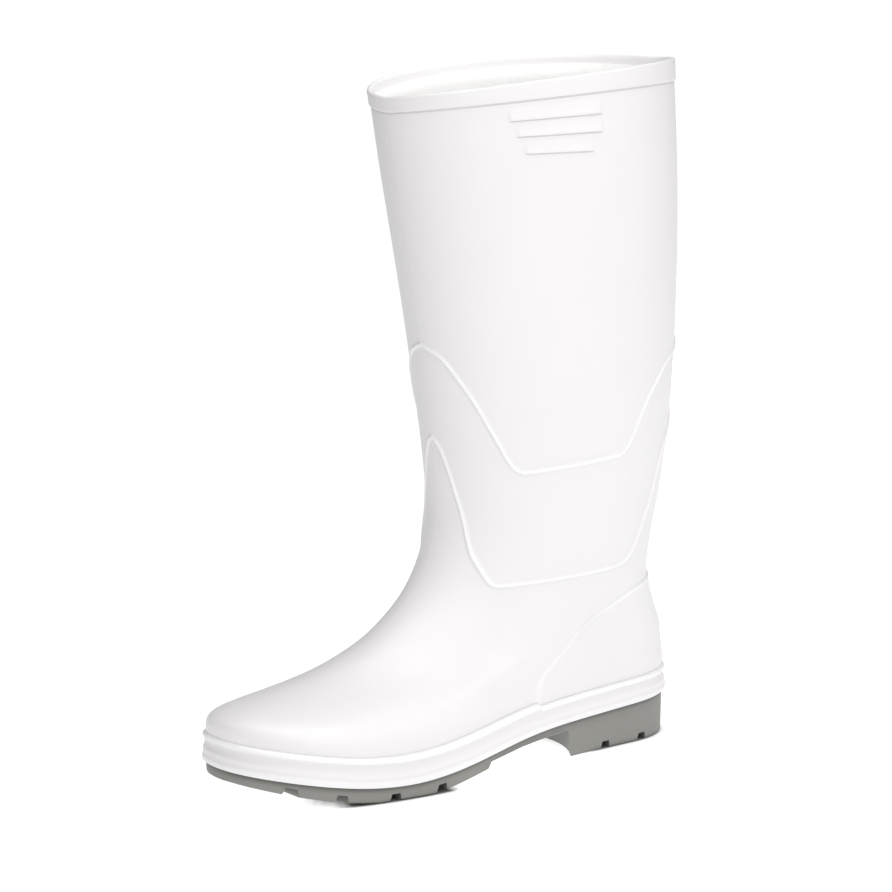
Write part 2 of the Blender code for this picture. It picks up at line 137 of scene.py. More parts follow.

# Cross sections of raised lines, from below upwards: millimetres from the line, share of its lift, tone,
# which is painted shade below 0 at the foot of a step and a painted highlight above 0 on its top. A bead's
# two halves are alike
BEAD_HALF = ((0, 1, 1), (0.35, 0.95, 0.8), (0.7, 0.75, 0.2), (1.0, 0.42, 0),
             (1.3, 0.12, 0), (1.6, 0.02, 0), (2.2, 0, 0))
BEAD_PROFILE = [(-offset, lift, tone) for offset, lift, tone in BEAD_HALF[:0:-1]] + list(BEAD_HALF)
# The heel counter's edge has a painted highlight, with faint painted shade just above it
COUNTER_PROFILE = ((-2.6, 1, 0), (-1.7, 1.05, 0.2), (-1.0, 1.3, 0.9), (-0.4, 1.25, 0.9),
                   (0.1, 0.75, 0.3), (0.5, 0.15, -0.1), (0.8, 0, -0.15), (1.5, 0, 0))
# A rib has a painted shadow under its lower edge and a faint painted highlight on its sloping face
RIB_PROFILE = ((-2.2, 0, 0), (-1.75, 0, -1), (-1.4, 0.08, -1), (-1.15, 0.85, -0.3), (-0.8, 1, 0.1),
               (0.2, 0.97, 0.1), (1.6, 0.8, 0.1), (3.2, 0.52, 0), (4.8, 0.24, 0),
               (5.8, 0.06, 0), (6.4, 0, 0))
# The collar band has painted shade at its foot
BAND_PROFILE = ((-1.2, 0, 0), (-0.5, 0, -1), (-0.1, 0.05, -1), (0.15, 0.5, -0.5), (0.5, 0.9, 0), (1.0, 1, 0))
# The rolled rim of the collar, from outside to inside: millimetres below the top, lift
RIM_PROFILE = ((1.6, 0.9), (0.8, 0.84), (0.32, 0.64), (0.07, 0.32),
               (0, -0.1), (0, -0.7), (0.1, -1.05), (0.5, -1.4))
# Inner face: depth behind the skin, lift below which a row is inside, first row by share of the way down
INNER_FACE = 1.5
INSIDE_LIFT = -1.0
INNER_FIRST_ROW = 0.004

# Soft creases: degrees from the back, reach in degrees, height, rise in mm per degree, half width, depth
CREASES = (
    (180, 52, 132, 0.20, 9.0, 0.55),
    (180, 60, 109, 0.16, 7.5, 0.45),
    (176, 46, 70, 0.06, 4.0, 0.30),
    (12, 40, 118, 0.12, 8.0, 0.40),
    (97, 30, 131, -0.12, 11.0, 0.35),
)

COLUMN_DEGREES = 1.3
# Stretches where the columns stand closer: first degree, last degree, spacing
CLOSE_COLUMNS = ((64.0, 80.0, 0.4), (88.5, 96.5, 0.6), (117.5, 126.0, 0.6),
                 (178.4, 181.7, 0.3), (280.0, 296.0, 0.4))
ROWS_FOOT = 54
ROWS_ANKLE = 44
ROWS_BETWEEN_BEADS = 24
ROWS_SHAFT = 42
ROWS_BETWEEN_RIBS = 3
ROWS_BAND = 5
INNER_ROWS = 20


def natural_spline(knots, values):
    """A cubic curve through the values, with no bend at its two ends."""
    knots = np.asarray(knots, float)
    values = np.asarray(values, float)
    gap = np.diff(knots)
    count = len(knots)
    system = np.eye(count)
    target = np.zeros(count)
    for i in range(1, count - 1):
        system[i, i - 1:i + 2] = gap[i - 1], 2 * (gap[i - 1] + gap[i]), gap[i]
        target[i] = 6 * ((values[i + 1] - values[i]) / gap[i] - (values[i] - values[i - 1]) / gap[i - 1])
    bend = np.linalg.solve(system, target)

    def curve(at):
        at = np.clip(np.asarray(at, float), knots[0], knots[-1])
        i = np.clip(np.searchsorted(knots, at, side="right") - 1, 0, count - 2)
        done = at - knots[i]
        left = knots[i + 1] - at
        cubic = (bend[i] * left ** 3 + bend[i + 1] * done ** 3) / (6 * gap[i])
        line = (values[i] / gap[i] - bend[i] * gap[i] / 6) * left
        return cubic + line + (values[i + 1] / gap[i] - bend[i + 1] * gap[i] / 6) * done

    return curve


def table_curves(columns, rows, knots):
    values = np.array(rows, float)
    return {name: natural_spline(knots, values[:, i]) for i, name in enumerate(columns)}


section = table_curves(SECTION_COLUMNS, SECTIONS, range(len(SECTIONS)))
plan = table_curves(PLAN_COLUMNS, PLAN, [row[0] for row in PLAN])
sole_line = natural_spline(*zip(*SOLE_LINE))


def smooth_step(share):
    share = np.clip(share, 0.0, 1.0)
    return share * share * (3.0 - 2.0 * share)


def rise_and_fall(at, run):
    """Share that climbs from 0 to 1 and sinks back to 0 between the four places of a run."""
    start, full, last, end = run
    return smooth_step((at - start) / (full - start)) * smooth_step((end - at) / (end - last))


def rounded_end(distance, length, power):
    """Width share near a rounded end, at a distance from its tip."""
    share = np.clip(distance / length, 0.0, 1.0)
    return (1.0 - (1.0 - share) ** power) ** (1.0 / power)


def surface(angle, level):
    """Point of the last's skin; the angle starts at the back and turns by the outer side to the front."""
    angle, level = np.broadcast_arrays(np.asarray(angle, float), np.asarray(level, float))
    at = {name: curve(level) for name, curve in section.items()}
    station = (1.0 - np.cos(angle)) / 2.0
    length = at["front_along"] - at["back_along"]
    along = at["back_along"] + length * station
    height = at["back_height"] + (at["front_height"] - at["back_height"]) * station
    edge_height = SECTIONS[0][3] + (SECTIONS[0][1] - SECTIONS[0][3]) * station
    fade = smooth_step(1.0 - level / SOLE_FADE_LEVEL)
    height = height + fade * (sole_line(along) + PLATE_HEIGHT - edge_height)
    side = np.sign(np.sin(angle))
    collar_rise = COLLAR_RISE * np.abs(np.sin(angle)) ** COLLAR_RISE_POWER
    collar_share = (level - COLLAR_RISE_START) / (TOP_LEVEL - COLLAR_RISE_START)
    height = height + collar_rise * smooth_step(collar_share)
    foot = np.where(side >= 0, plan["outer_side"](station), plan["inner_side"](station))
    width = at["half_width"] * (1.0 + at["foot_share"] * (foot - 1.0))
    power = SHAFT_ROUNDNESS + (FOOT_ROUNDNESS - SHAFT_ROUNDNESS) * at["foot_share"]
    width = width * rounded_end(station * length, at["heel_round"], power)
    width = width * rounded_end((1.0 - station) * length, at["toe_round"], power)
    across = side * width + at["foot_share"] * plan["axis_shift"](station)
    return np.stack([across, -along, height], axis=-1)


def unit(vectors):
    return vectors / np.linalg.norm(vectors, axis=-1, keepdims=True)


def outward(angle, level):
    angle, level = np.broadcast_arrays(np.asarray(angle, float), np.asarray(level, float))
    round_boot = surface(angle + PROBE_STEP, level) - surface(angle - PROBE_STEP, level)
    above = surface(angle, np.minimum(level + PROBE_STEP, TOP_LEVEL))
    below = surface(angle, np.maximum(level - PROBE_STEP, 0.0))
    return unit(np.cross(above - below, round_boot))


def skin(angle, level, lift):
    return surface(angle, level) + outward(angle, level) * np.asarray(lift, float)[..., None]


def level_at(angle, height):
    """Level whose skin has the given height at each angle."""
    low = np.zeros_like(angle)
    high = np.full_like(angle, TOP_LEVEL)
    for _ in range(LEVEL_HALVINGS):
        middle = (low + high) / 2.0
        below = surface(angle, middle)[..., 2] < height
        low = np.where(below, middle, low)
        high = np.where(below, high, middle)
    return (low + high) / 2.0


def degrees_from_back(angle):
    """Angle folded to 0 at the back and 180 at the front, the same on both sides."""
    return np.abs((np.degrees(angle) + 180.0) % 360.0 - 180.0)


def soft_line(table, angle):
    """Height of a bead round the boot, its corners rounded."""
    degrees = degrees_from_back(angle)
    shifted = [np.interp(np.abs(degrees + shift), *zip(*table)) for shift in BEAD_SOFTENING]
    return np.mean(shifted, axis=0)


def line_stretch(table, angle):
    """How much taller than wide a sloping bead is cut by an upright line."""
    rise = soft_line(table, angle + PROBE_STEP) - soft_line(table, angle - PROBE_STEP)
    level = level_at(angle, soft_line(table, angle))
    run = np.linalg.norm(surface(angle + PROBE_STEP, level) - surface(angle - PROBE_STEP, level), axis=-1)
    return np.minimum(np.sqrt(1.0 + (rise / run) ** 2), STEEPEST_STRETCH)


def counter_share(angle):
    """1 on the heel counter, 0 in front of it, with a short slope at its end."""
    return smooth_step((COUNTER_END - degrees_from_back(angle)) / COUNTER_END_SOFT + 0.5)


def close_columns(spacing, stretches):
    """Angles round the boot, even but for the stretches where they stand closer."""
    margin = spacing / 2.0
    even = np.arange(0.0, 360.0, spacing)
    for first, last, _ in stretches:
        even = even[(even < first - margin) | (even > last + margin)]
    close = [np.arange(first, last, step) for first, last, step in stretches]
    return np.radians(np.sort(np.concatenate([even] + close)))


class Rings:
    """Rings of a skin from the bottom up: each has a level, a lift and a tone at every angle."""

    def __init__(self, angle):
        self.angle = angle
        self.rows = []

    def add(self, level, lift=0.0, tone=0.0):
        self.rows.append([np.broadcast_to(value, self.angle.shape) for value in (level, lift, tone)])

    def fill(self, level, count):
        """Even rings from the last one to just below a level."""
        start, lift, _ = self.rows[-1]
        for i in range(1, count):
            self.add(start + (level - start) * i / count, lift)

    def line(self, height, profile, lift, stretch=1.0, share=1.0):
        """Rings across a raised line."""
        for offset, lift_share, tone in profile:
            self.add(level_at(self.angle, height + offset * stretch), lift * lift_share * share, tone * share)

    def table(self):
        return (np.array([row[i] for row in self.rows]) for i in range(3))


upper_angles = close_columns(COLUMN_DEGREES, CLOSE_COLUMNS)
upper_degrees = degrees_from_back(upper_angles)


def height_of(level):
    return surface(upper_angles, level)[..., 2]


on_counter = counter_share(upper_angles)
counter_curve = natural_spline(*zip(*COUNTER_EDGE))
ahead = upper_degrees > COUNTER_END
counter_height = np.where(ahead, height_of(SOLE_FADE_LEVEL), counter_curve(upper_degrees))
rings = Rings(upper_angles)
rings.add(0.0, COUNTER_LIFT * on_counter)
rings.fill(level_at(upper_angles, counter_height + COUNTER_PROFILE[0][0]), ROWS_FOOT)
rings.line(counter_height, COUNTER_PROFILE, COUNTER_LIFT, share=on_counter)
for bead, rows_below in ((LOWER_BEAD, ROWS_ANKLE), (UPPER_BEAD, ROWS_BETWEEN_BEADS)):
    bead_height = soft_line(bead, upper_angles)
    stretch = line_stretch(bead, upper_angles)
    rings.fill(level_at(upper_angles, bead_height + BEAD_PROFILE[0][0] * stretch), rows_below)
    rings.line(bead_height, BEAD_PROFILE, BEAD_LIFT, stretch)
rows_below = ROWS_SHAFT
rib_stretch = (height_of(RIBS[-1][0]) - height_of(RIBS[0][0])) / (RIB_SPACING * (len(RIBS) - 1))
turned = np.degrees(upper_angles)
for level, first, last in RIBS:
    on_rib = rise_and_fall(turned, (first - RIB_END_DEGREES, first, last, last + RIB_END_DEGREES))
    rings.fill(level_at(upper_angles, height_of(level) + RIB_PROFILE[0][0] * rib_stretch), rows_below)
    rings.line(height_of(level), RIB_PROFILE, RIB_LIFT, rib_stretch, on_rib)
    rows_below = ROWS_BETWEEN_RIBS
rings.fill(level_at(upper_angles, height_of(BAND_LEVEL) + BAND_PROFILE[0][0]), ROWS_BETWEEN_RIBS)
rings.line(height_of(BAND_LEVEL), BAND_PROFILE, BAND_LIFT)
rings.fill(level_at(upper_angles, height_of(TOP_LEVEL) - RIM_PROFILE[0][0]), ROWS_BAND)
upper_level, upper_lift, upper_tone = rings.table()

upper_height = surface(upper_angles, upper_level)[..., 2]
on_foot = upper_height < counter_height + COUNTER_PROFILE[-1][0]
fade_start, fade_end = COUNTER_FADE
# The painted highlight along the counter's edge fades towards its front, and a small painted highlight marks
# its end
highlight_kept = 1.0 - (1.0 - COUNTER_HIGHLIGHT_KEPT) * smooth_step((upper_degrees - fade_start) / (fade_end - fade_start))
front_highlight = COUNTER_FRONT_HIGHLIGHT * np.exp(-((upper_degrees - COUNTER_END) / COUNTER_FRONT_HALF) ** 2)
upper_tone = np.where(on_foot, np.maximum(upper_tone * highlight_kept, front_highlight), upper_tone)
spine = np.exp(-(upper_degrees / SPINE_WIDTH) ** 2) * rise_and_fall(upper_height, SPINE_HEIGHTS)
mould_line = np.exp(-((upper_degrees - 180.0) / MOULD_LINE_DEGREES) ** 2)
upper_lift = upper_lift + SPINE_LIFT * spine
upper_lift += MOULD_LINE_LIFT * mould_line * rise_and_fall(upper_height, MOULD_LINE_HEIGHTS)
for middle, reach, height, rise, half_width, depth in CREASES:
    away = np.abs(upper_degrees - middle)
    dip = np.exp(-((upper_height - height - rise * away) / half_width) ** 2)
    upper_lift -= depth * dip * smooth_step(1.0 - away / reach)

rim_rings = Rings(upper_angles)
for depth, lift in RIM_PROFILE:
    rim_rings.add(level_at(upper_angles, height_of(TOP_LEVEL) - depth), lift)
for share in np.linspace(INNER_FIRST_ROW, 1.0, INNER_ROWS):
    rim_rings.add(TOP_LEVEL * (1.0 - share), -INNER_FACE)
rim_level, rim_lift, rim_tone = rim_rings.table()

upper_points = np.concatenate([skin(upper_angles, upper_level, upper_lift),
                               skin(upper_angles, rim_level, rim_lift)])
upper_points[-1, :, 2] = upper_points[0, :, 2]
upper_inside = np.concatenate([np.zeros(len(upper_tone)), rim_lift.mean(axis=1) < INSIDE_LIFT])
upper_tone = np.concatenate([upper_tone, rim_tone])

# The foxing's lip stands out from the sole edge, and its toe end is the front of the solids' box
LIP_OUT = 4.0
row_shift = np.array([0.0, cad_low.y / MM + SECTIONS[0][0] + LIP_OUT, 0.0])


def ring_faces(rows, columns, joined_ends=False):
    """Quads between the rings of a stack; with joined ends the last ring meets the first one."""
    here = np.arange(rows * columns).reshape(rows, columns)
    above = np.roll(here, -1, axis=0)
    if not joined_ends:
        here, above = here[:-1], above[:-1]
    quads = np.stack([here, above, np.roll(above, -1, axis=1), np.roll(here, -1, axis=1)], axis=-1)
    return quads.reshape(-1, 4).tolist()


def make_piece(name, points, faces, marks, finish, sharp_degrees=None):
    """A piece in the boot's frame, with its finish and a named mark at each point for that finish."""
    mesh = bpy.data.meshes.new(name)
    mesh.from_pydata(((points.reshape(-1, 3) + row_shift) * MM).tolist(), [], faces)
    for mark, values in marks.items():
        layer = mesh.attributes.new(mark, "FLOAT", "POINT")
        layer.data.foreach_set("value", np.asarray(values, np.float32).ravel())
    work = bmesh.new()
    work.from_mesh(mesh)
    bmesh.ops.recalc_face_normals(work, faces=work.faces[:])
    work.to_mesh(mesh)
    work.free()
    mesh.shade_smooth()
    if sharp_degrees:
        mesh.set_sharp_from_angle(angle=np.radians(sharp_degrees))
    mesh.materials.append(finish.material)
    piece = bpy.data.objects.new(name, mesh)
    bpy.context.scene.collection.objects.link(piece)
    return piece


class Term:
    """One socket of a finish; a sum written with it adds Math nodes."""

    def __init__(self, finish, socket):
        self.finish = finish
        self.socket = socket

    def math(self, operation, *others):
        return self.finish.node("ShaderNodeMath", {"operation": operation}, (self, *others))

    def __add__(self, other):
        return self.math("ADD", other)

    def __sub__(self, other):
        return self.math("SUBTRACT", other)

    def __rsub__(self, other):
        return self.finish.node("ShaderNodeMath", {"operation": "SUBTRACT"}, (other, self))

    def __mul__(self, other):
        return self.math("MULTIPLY", other)

    __radd__ = __add__
    __rmul__ = __mul__


class Finish:
    """A material and its nodes."""

    def __init__(self, name, constants):
        self.material = bpy.data.materials.new(name)
        self.material.use_nodes = True
        self.tree = self.material.node_tree
        self.shader = self.tree.nodes["Principled BSDF"]
        for socket, value in constants.items():
            self.shader.inputs[socket].default_value = value
        self.place = self.node("ShaderNodeTexCoord", output="Object")

    def node(self, kind, settings=None, sockets=(), output=0):
        made = self.tree.nodes.new(kind)
        for name, value in (settings or {}).items():
            setattr(made, name, value)
        for key, value in sockets.items() if isinstance(sockets, dict) else enumerate(sockets):
            self.plug(made.inputs[key], value)
        return Term(self, made.outputs[output])

    def plug(self, socket, value):
        if isinstance(value, Term):
            self.tree.links.new(value.socket, socket)
        else:
            socket.default_value = value

    def feed(self, socket, value):
        self.plug(self.shader.inputs[socket], value)

    def mark(self, name):
        return self.node("ShaderNodeAttribute", {"attribute_name": name}, output="Fac")

    def stretched(self, scales):
        return self.node("ShaderNodeVectorMath", {"operation": "MULTIPLY"}, (self.place, scales))

    def noise(self, scale, detail, at=None):
        sockets = {"Vector": at or self.place, "Scale": scale, "Detail": detail}
        return self.node("ShaderNodeTexNoise", {}, sockets)

    def mix(self, share, first, second):
        return self.node("ShaderNodeMix", {"data_type": "RGBA"}, {0: share, 6: first, 7: second}, output=2)

    def bump(self, height, millimetres, under=None):
        sockets = {"Height": height, "Distance": millimetres * MM}
        if under:
            sockets["Normal"] = under
        return self.node("ShaderNodeBump", {}, sockets)


CLEAN_WHITE = (0.825, 0.808, 0.820, 1.0)
WARM_WHITE = (0.795, 0.777, 0.780, 1.0)
# Colours of the painted highlight on the tops of raised lines and of the painted shade at their feet
HIGHLIGHT_WHITE = (0.91, 0.90, 0.90, 1.0)
SHADE_GREY = (0.46, 0.45, 0.43, 1.0)
# Noises: scale, detail. Reliefs are in millimetres
DRIFT_NOISE = (18.0, 4.0)
FLOW_NOISE = (1.0, 3.0)
FLOW_STRETCH = (70.0, 70.0, 9.0)
SMUDGE_NOISE = (55.0, 5.0)
PEEL_NOISE = (520.0, 2.0)
GRAIN_NOISE = (2600.0, 1.0)
PEEL_RELIEF = 0.022
FLOW_RELIEF = 0.09
FLOW_SHARE = 0.25
# Share of the painted shade that varies with a smudge noise; the painted shade also adds roughness
SMUDGED_SHADE = 0.45
SATIN_ROUGHNESS = 0.36
SMUDGE_ROUGHNESS = 0.10
FLOW_ROUGHNESS = 0.06
SHADE_ROUGHNESS = 0.25


def white_pvc(name, shade_share, grain_relief):
    """Satin white PVC: faint tone drift, soft orange peel, flow marks, painted shade and highlights on raised
    lines.
    """
    finish = Finish(name, {"IOR": 1.5, "Coat Weight": 0.07, "Coat Roughness": 0.2})
    drift = finish.noise(*DRIFT_NOISE)
    flow = finish.noise(*FLOW_NOISE, at=finish.stretched(FLOW_STRETCH))
    smudge = finish.noise(*SMUDGE_NOISE)
    tone = finish.mark("tone")
    # Tone above 0 is a painted highlight, tone below 0 is painted shade
    painted_highlight = tone.math("MAXIMUM", 0.0)
    sunk = (tone * -1.0).math("MAXIMUM", 0.0)
    painted_shade = sunk * (1.0 - SMUDGED_SHADE + SMUDGED_SHADE * smudge) * shade_share
    white = finish.mix(drift * (1.0 - FLOW_SHARE) + flow * FLOW_SHARE, CLEAN_WHITE, WARM_WHITE)
    finish.feed("Base Color", finish.mix(painted_shade, finish.mix(painted_highlight, white, HIGHLIGHT_WHITE), SHADE_GREY))
    smooth = SATIN_ROUGHNESS + SMUDGE_ROUGHNESS * smudge + FLOW_ROUGHNESS * flow
    finish.feed("Roughness", smooth + SHADE_ROUGHNESS * painted_shade)
    peel = finish.bump(finish.noise(*PEEL_NOISE), PEEL_RELIEF)
    marks = finish.bump(flow, FLOW_RELIEF, under=peel)
    grain = finish.noise(*GRAIN_NOISE) * finish.mark("grain")
    finish.feed("Normal", finish.bump(grain, grain_relief, under=marks))
    return finish


# The inner face of the wall carries a faint painted glow, for the light that the thin white wall lets through
INSIDE_GLOW = 0.13
BLACK = (0.0, 0.0, 0.0, 1.0)
WHITE = (1.0, 1.0, 1.0, 1.0)
# Strength of the painted shade at the feet of the upper's raised lines
UPPER_SHADE = 0.75
UPPER_GRAIN = 0.3
UPPER_GRAIN_RELIEF = 0.012
upper_white = white_pvc("upper_white_pvc", UPPER_SHADE, UPPER_GRAIN_RELIEF)
upper_white.feed("Emission Strength", INSIDE_GLOW)
upper_white.feed("Emission Color", upper_white.mix(upper_white.mark("inside"), BLACK, WHITE))
upper_marks = {"tone": upper_tone, "grain": np.full_like(upper_tone, UPPER_GRAIN),
               "inside": np.broadcast_to(upper_inside[:, None], upper_tone.shape)}
upper_piece = make_piece("boot_upper", upper_points, ring_faces(*upper_points.shape[:2], joined_ends=True),
                         upper_marks, upper_white)
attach(upper_piece, "root")
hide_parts("upper")

# Lining: a thin white polyester knit that the PVC is moulded onto, so it lies on the inside of the wall.
# Its fabric is closed by one seam up the back and ends a few millimetres under the rim.
LINING_OUTER_FACE = 1.58
LINING_INNER_FACE = 2.15
LINING_TOP = 5.5
LINING_BOTTOM_LEVEL = 0.3
LINING_ROWS = 96
LINING_COLUMNS = 220
LINING_SEAM_DEGREES = 0.12
# Knit: columns of stitches round the boot, height of one row of stitches
WALES = 560.0
COURSE_HEIGHT = 1.15

lining_angles = np.radians(np.linspace(LINING_SEAM_DEGREES, 360.0 - LINING_SEAM_DEGREES, LINING_COLUMNS))
lining_top_level = level_at(lining_angles, surface(lining_angles, TOP_LEVEL)[..., 2] - LINING_TOP)
lining_share = np.linspace(0.0, 1.0, LINING_ROWS)[:, None]
lining_level = LINING_BOTTOM_LEVEL + (lining_top_level - LINING_BOTTOM_LEVEL) * lining_share
lining_outer, lining_inner = (skin(lining_angles, lining_level, np.full_like(lining_level, -depth))
                              for depth in (LINING_OUTER_FACE, LINING_INNER_FACE))
course_steps = np.linalg.norm(np.diff(lining_inner, axis=0), axis=-1)
courses = np.concatenate([np.zeros((1, LINING_COLUMNS)), np.cumsum(course_steps, axis=0)]) / COURSE_HEIGHT
wales = np.broadcast_to(np.degrees(lining_angles) / 360.0 * WALES, courses.shape)


def sheet_faces(rows, columns):
    """Faces of a thin sheet: two grids of points, one behind the other, closed round their edges."""
    front = np.arange(rows * columns).reshape(rows, columns)
    behind = front + rows * columns
    faces = []
    for grid in (front, behind):
        quads = np.stack([grid[:-1, :-1], grid[:-1, 1:], grid[1:, 1:], grid[1:, :-1]], axis=-1)
        faces += quads.reshape(-1, 4).tolist()
    for edge in ((0, slice(None)), (-1, slice(None)), (slice(None), 0), (slice(None), -1)):
        near, far = front[edge], behind[edge]
        faces += np.stack([near[:-1], near[1:], far[1:], far[:-1]], axis=-1).tolist()
    return faces


KNIT_LIGHT = (0.93, 0.925, 0.92, 1.0)
KNIT_GAP = (0.87, 0.865, 0.855, 1.0)
# A faint painted glow of the knit lightens the inside of the boot
KNIT_GLOW = 0.07
LOOP_SLANT = 1.2
LOOP_SHARE = 0.55
FUZZ_NOISE = (900.0, 3.0)
FUZZ_SHARE = 0.35
SOILING_NOISE = (24.0, 4.0)
SOILING_SHARE = 0.2
KNIT_RELIEF = 0.16
lining_knit = Finish("lining_knit", {"Roughness": 0.92, "Sheen Weight": 0.15, "Sheen Roughness": 0.5,
                                     "Emission Color": WHITE, "Emission Strength": KNIT_GLOW})
wale_wave = lining_knit.mark("wale") * (2.0 * np.pi)
course_wave = lining_knit.mark("course") * (2.0 * np.pi)
wale_ridge = 0.5 - 0.5 * wale_wave.math("COSINE")
slanted = course_wave + wale_wave.math("SINE") * LOOP_SLANT
loops = 0.5 + 0.5 * slanted.math("SINE")
yarn = wale_ridge * (1.0 - LOOP_SHARE + LOOP_SHARE * loops)
fuzz = lining_knit.noise(*FUZZ_NOISE)
soiling = lining_knit.noise(*SOILING_NOISE)
knit_shade = yarn * (1.0 - SOILING_SHARE) + soiling * SOILING_SHARE
lining_knit.feed("Base Color", lining_knit.mix(knit_shade, KNIT_GAP, KNIT_LIGHT))
lining_knit.feed("Normal", lining_knit.bump(yarn + fuzz * FUZZ_SHARE, KNIT_RELIEF))

knit_marks = {"wale": np.stack([wales, wales]), "course": np.stack([courses, courses])}
lining_piece = make_piece("boot_lining", np.stack([lining_outer, lining_inner]),
                          sheet_faces(LINING_ROWS, LINING_COLUMNS), knit_marks, lining_knit)
lining_wide = np.linalg.norm(np.diff(lining_inner, axis=1), axis=-1).sum(axis=1).max() * MM
lining_sides = [np.diff(lining_inner, axis=axis) for axis in (0, 1)]
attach(lining_piece, "root")

# Foxing: the white PVC cup that holds the foot of the upper and carries the outsole, moulded onto both.
# From below it has an overhanging lip, a plain band, a hollow band with a fine grain and a round top bead.
FOXING_FIT = 0.03
FOXING_HEEL_SHARE = 0.88
# Side of the foxing from the lip up: inset from the lip, rise above the sole line, tone, grain
# Tone is painted shade below 0 in the hollows and a painted highlight above 0 on the lip and the top bead
FOXING_SIDE = ((0.5, 0.0, 0.1, 0), (0.0, 0.5, 0.4, 0), (0.0, 3.0, 0.4, 0), (0.5, 3.6, -0.3, 0),
               (0.5, 6.6, 0.2, 0), (0.8, 7.4, -0.1, 1), (1.3, 8.7, -0.15, 1), (1.5, 10.2, -0.15, 1),
               (1.3, 11.8, -0.2, 1), (0.6, 12.5, 0.2, 0), (0.4, 13.2, 1, 0), (0.6, 14.1, 1, 0))
FOXING_ROUNDING = 2
CORNER_CUT = 0.25
FOXING_INNER_RISES = (15.8, 10.0)
# Tone of the inner rings: a painted highlight where the top bead meets the upper
FOXING_INNER_TONES = (0.9, 0.0, 0.0)
FOXING_COLUMN_DEGREES = 0.8
FOXING_CLOSE_COLUMNS = ((75.0, 80.0, 0.25), (280.0, 285.0, 0.25))
# Strength of the painted shade in the foxing's hollows
FOXING_SHADE = 0.5
FOXING_GRAIN_RELIEF = 0.05
# Gap that bonded faces keep between them
JOINT_GAP = 0.3


def corners_cut(points, times):
    """A line with its corners cut off again and again, which rounds them; its two ends stay."""
    points = np.asarray(points, float)
    for _ in range(times):
        near = points[:-1] * (1.0 - CORNER_CUT) + points[1:] * CORNER_CUT
        far = points[:-1] * CORNER_CUT + points[1:] * (1.0 - CORNER_CUT)
        middle = np.stack([near, far], axis=1).reshape(-1, points.shape[1])
        points = np.concatenate([points[:1], middle, points[-1:]])
    return points


def lip_outline(angle, inset):
    """Plan of the sole's edge, pulled in from the lip by an inset."""
    points = surface(angle, 0.0)[..., :2]
    run = surface(angle + PROBE_STEP, 0.0)[..., :2] - surface(angle - PROBE_STEP, 0.0)[..., :2]
    normal = unit(np.stack([-run[..., 1], run[..., 0]], axis=-1))
    return points + normal * (LIP_OUT - inset)


def on_sole(plan_points, rise):
    return np.concatenate([plan_points, (sole_line(-plan_points[:, 1]) + rise)[:, None]], axis=1)


def ladder(first, count):
    """Faces that fill a ring of points from side to side, each column joined to its mirror column."""
    ring = list(range(first, first + count))
    half = count // 2
    faces = [(ring[0], ring[1], ring[-1]), tuple(ring[half - 1:count - half + 2])]
    for j in range(1, half - 1):
        faces.append((ring[j], ring[j + 1], ring[-j - 1], ring[-j]))
    return faces


foxing_angles = close_columns(FOXING_COLUMN_DEGREES, FOXING_CLOSE_COLUMNS)
foxing_counter = counter_share(foxing_angles)
foxing_share = 1.0 + (FOXING_HEEL_SHARE - 1.0) * foxing_counter
foxing_clear = COUNTER_LIFT * foxing_counter + FOXING_FIT
foxing_profile = corners_cut(FOXING_SIDE, FOXING_ROUNDING)
foxing_rings = [on_sole(lip_outline(foxing_angles, inset), rise * foxing_share)
                for inset, rise, _, _ in foxing_profile]
sole_edge = surface(foxing_angles, 0.0)
for rise in FOXING_INNER_RISES:
    rim_height = sole_line(-sole_edge[:, 1]) + rise * foxing_share
    foxing_rings.append(skin(foxing_angles, level_at(foxing_angles, rim_height), foxing_clear))
floor_edge = sole_edge + outward(foxing_angles, 0.0) * foxing_clear[:, None]
foxing_rings.append(on_sole(floor_edge[:, :2], PLATE_HEIGHT - JOINT_GAP))
foxing_points = np.stack(foxing_rings)
foxing_rows, foxing_columns = foxing_points.shape[:2]
foxing_tone = np.concatenate([foxing_profile[:, 2], FOXING_INNER_TONES])
foxing_grain = np.concatenate([foxing_profile[:, 3], np.zeros(len(FOXING_INNER_TONES))])
foxing_marks = {"tone": foxing_tone[:, None] * np.ones(foxing_columns),
                "grain": foxing_grain[:, None] * np.ones(foxing_columns)}
foxing_faces = ring_faces(foxing_rows, foxing_columns) + ladder(0, foxing_columns)
foxing_faces += ladder((foxing_rows - 1) * foxing_columns, foxing_columns)
foxing_piece = make_piece("boot_foxing", foxing_points, foxing_faces, foxing_marks,
                          white_pvc("foxing_white_pvc", FOXING_SHADE, FOXING_GRAIN_RELIEF))
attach(foxing_piece, "root")
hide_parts("midsole")

# Outsole: the tread, one moulding of grey nitrile PVC with a heel block, an arch and a sprung toe.
# Cross grooves and two long channels cut it into lugs; it is bonded under the foxing, set in behind the lip.
OUTSOLE_INSET = 2.0
OUTSOLE_TAPER = 0.975
TREAD = ((2.0, 2.0), (6.0, 0.0), (88.0, 0.0), (90.0, 14.4), (100.0, 14.4), (125.0, 12.8), (150.0, 9.6),
         (152.0, 6.2), (175.0, 2.0), (190.0, 0.0), (222.0, 0.0), (240.0, 2.0), (260.0, 6.0), (282.0, 11.3))
GROOVES = (34.5, 61.5, 184.5, 212.5, 241.0, 263.0)
GROOVE_WIDTH = 5.0
GROOVE_DEPTH = 3.5
GROOVE_DRAFT = 0.6
HEEL_FRONT_BOW = 14.0
HEEL_BOW_RUN = (54.0, 87.0, 92.0, 130.0)
TIP_STATION = 0.03
OUTLINE_SAMPLES = 1200
EVEN_STATIONS = 190
CLOSE_STATION = 0.3
CLOSE_REACH = 1.5
CORNER_SOFTENING = (-0.3, -0.1, 0.1, 0.3)
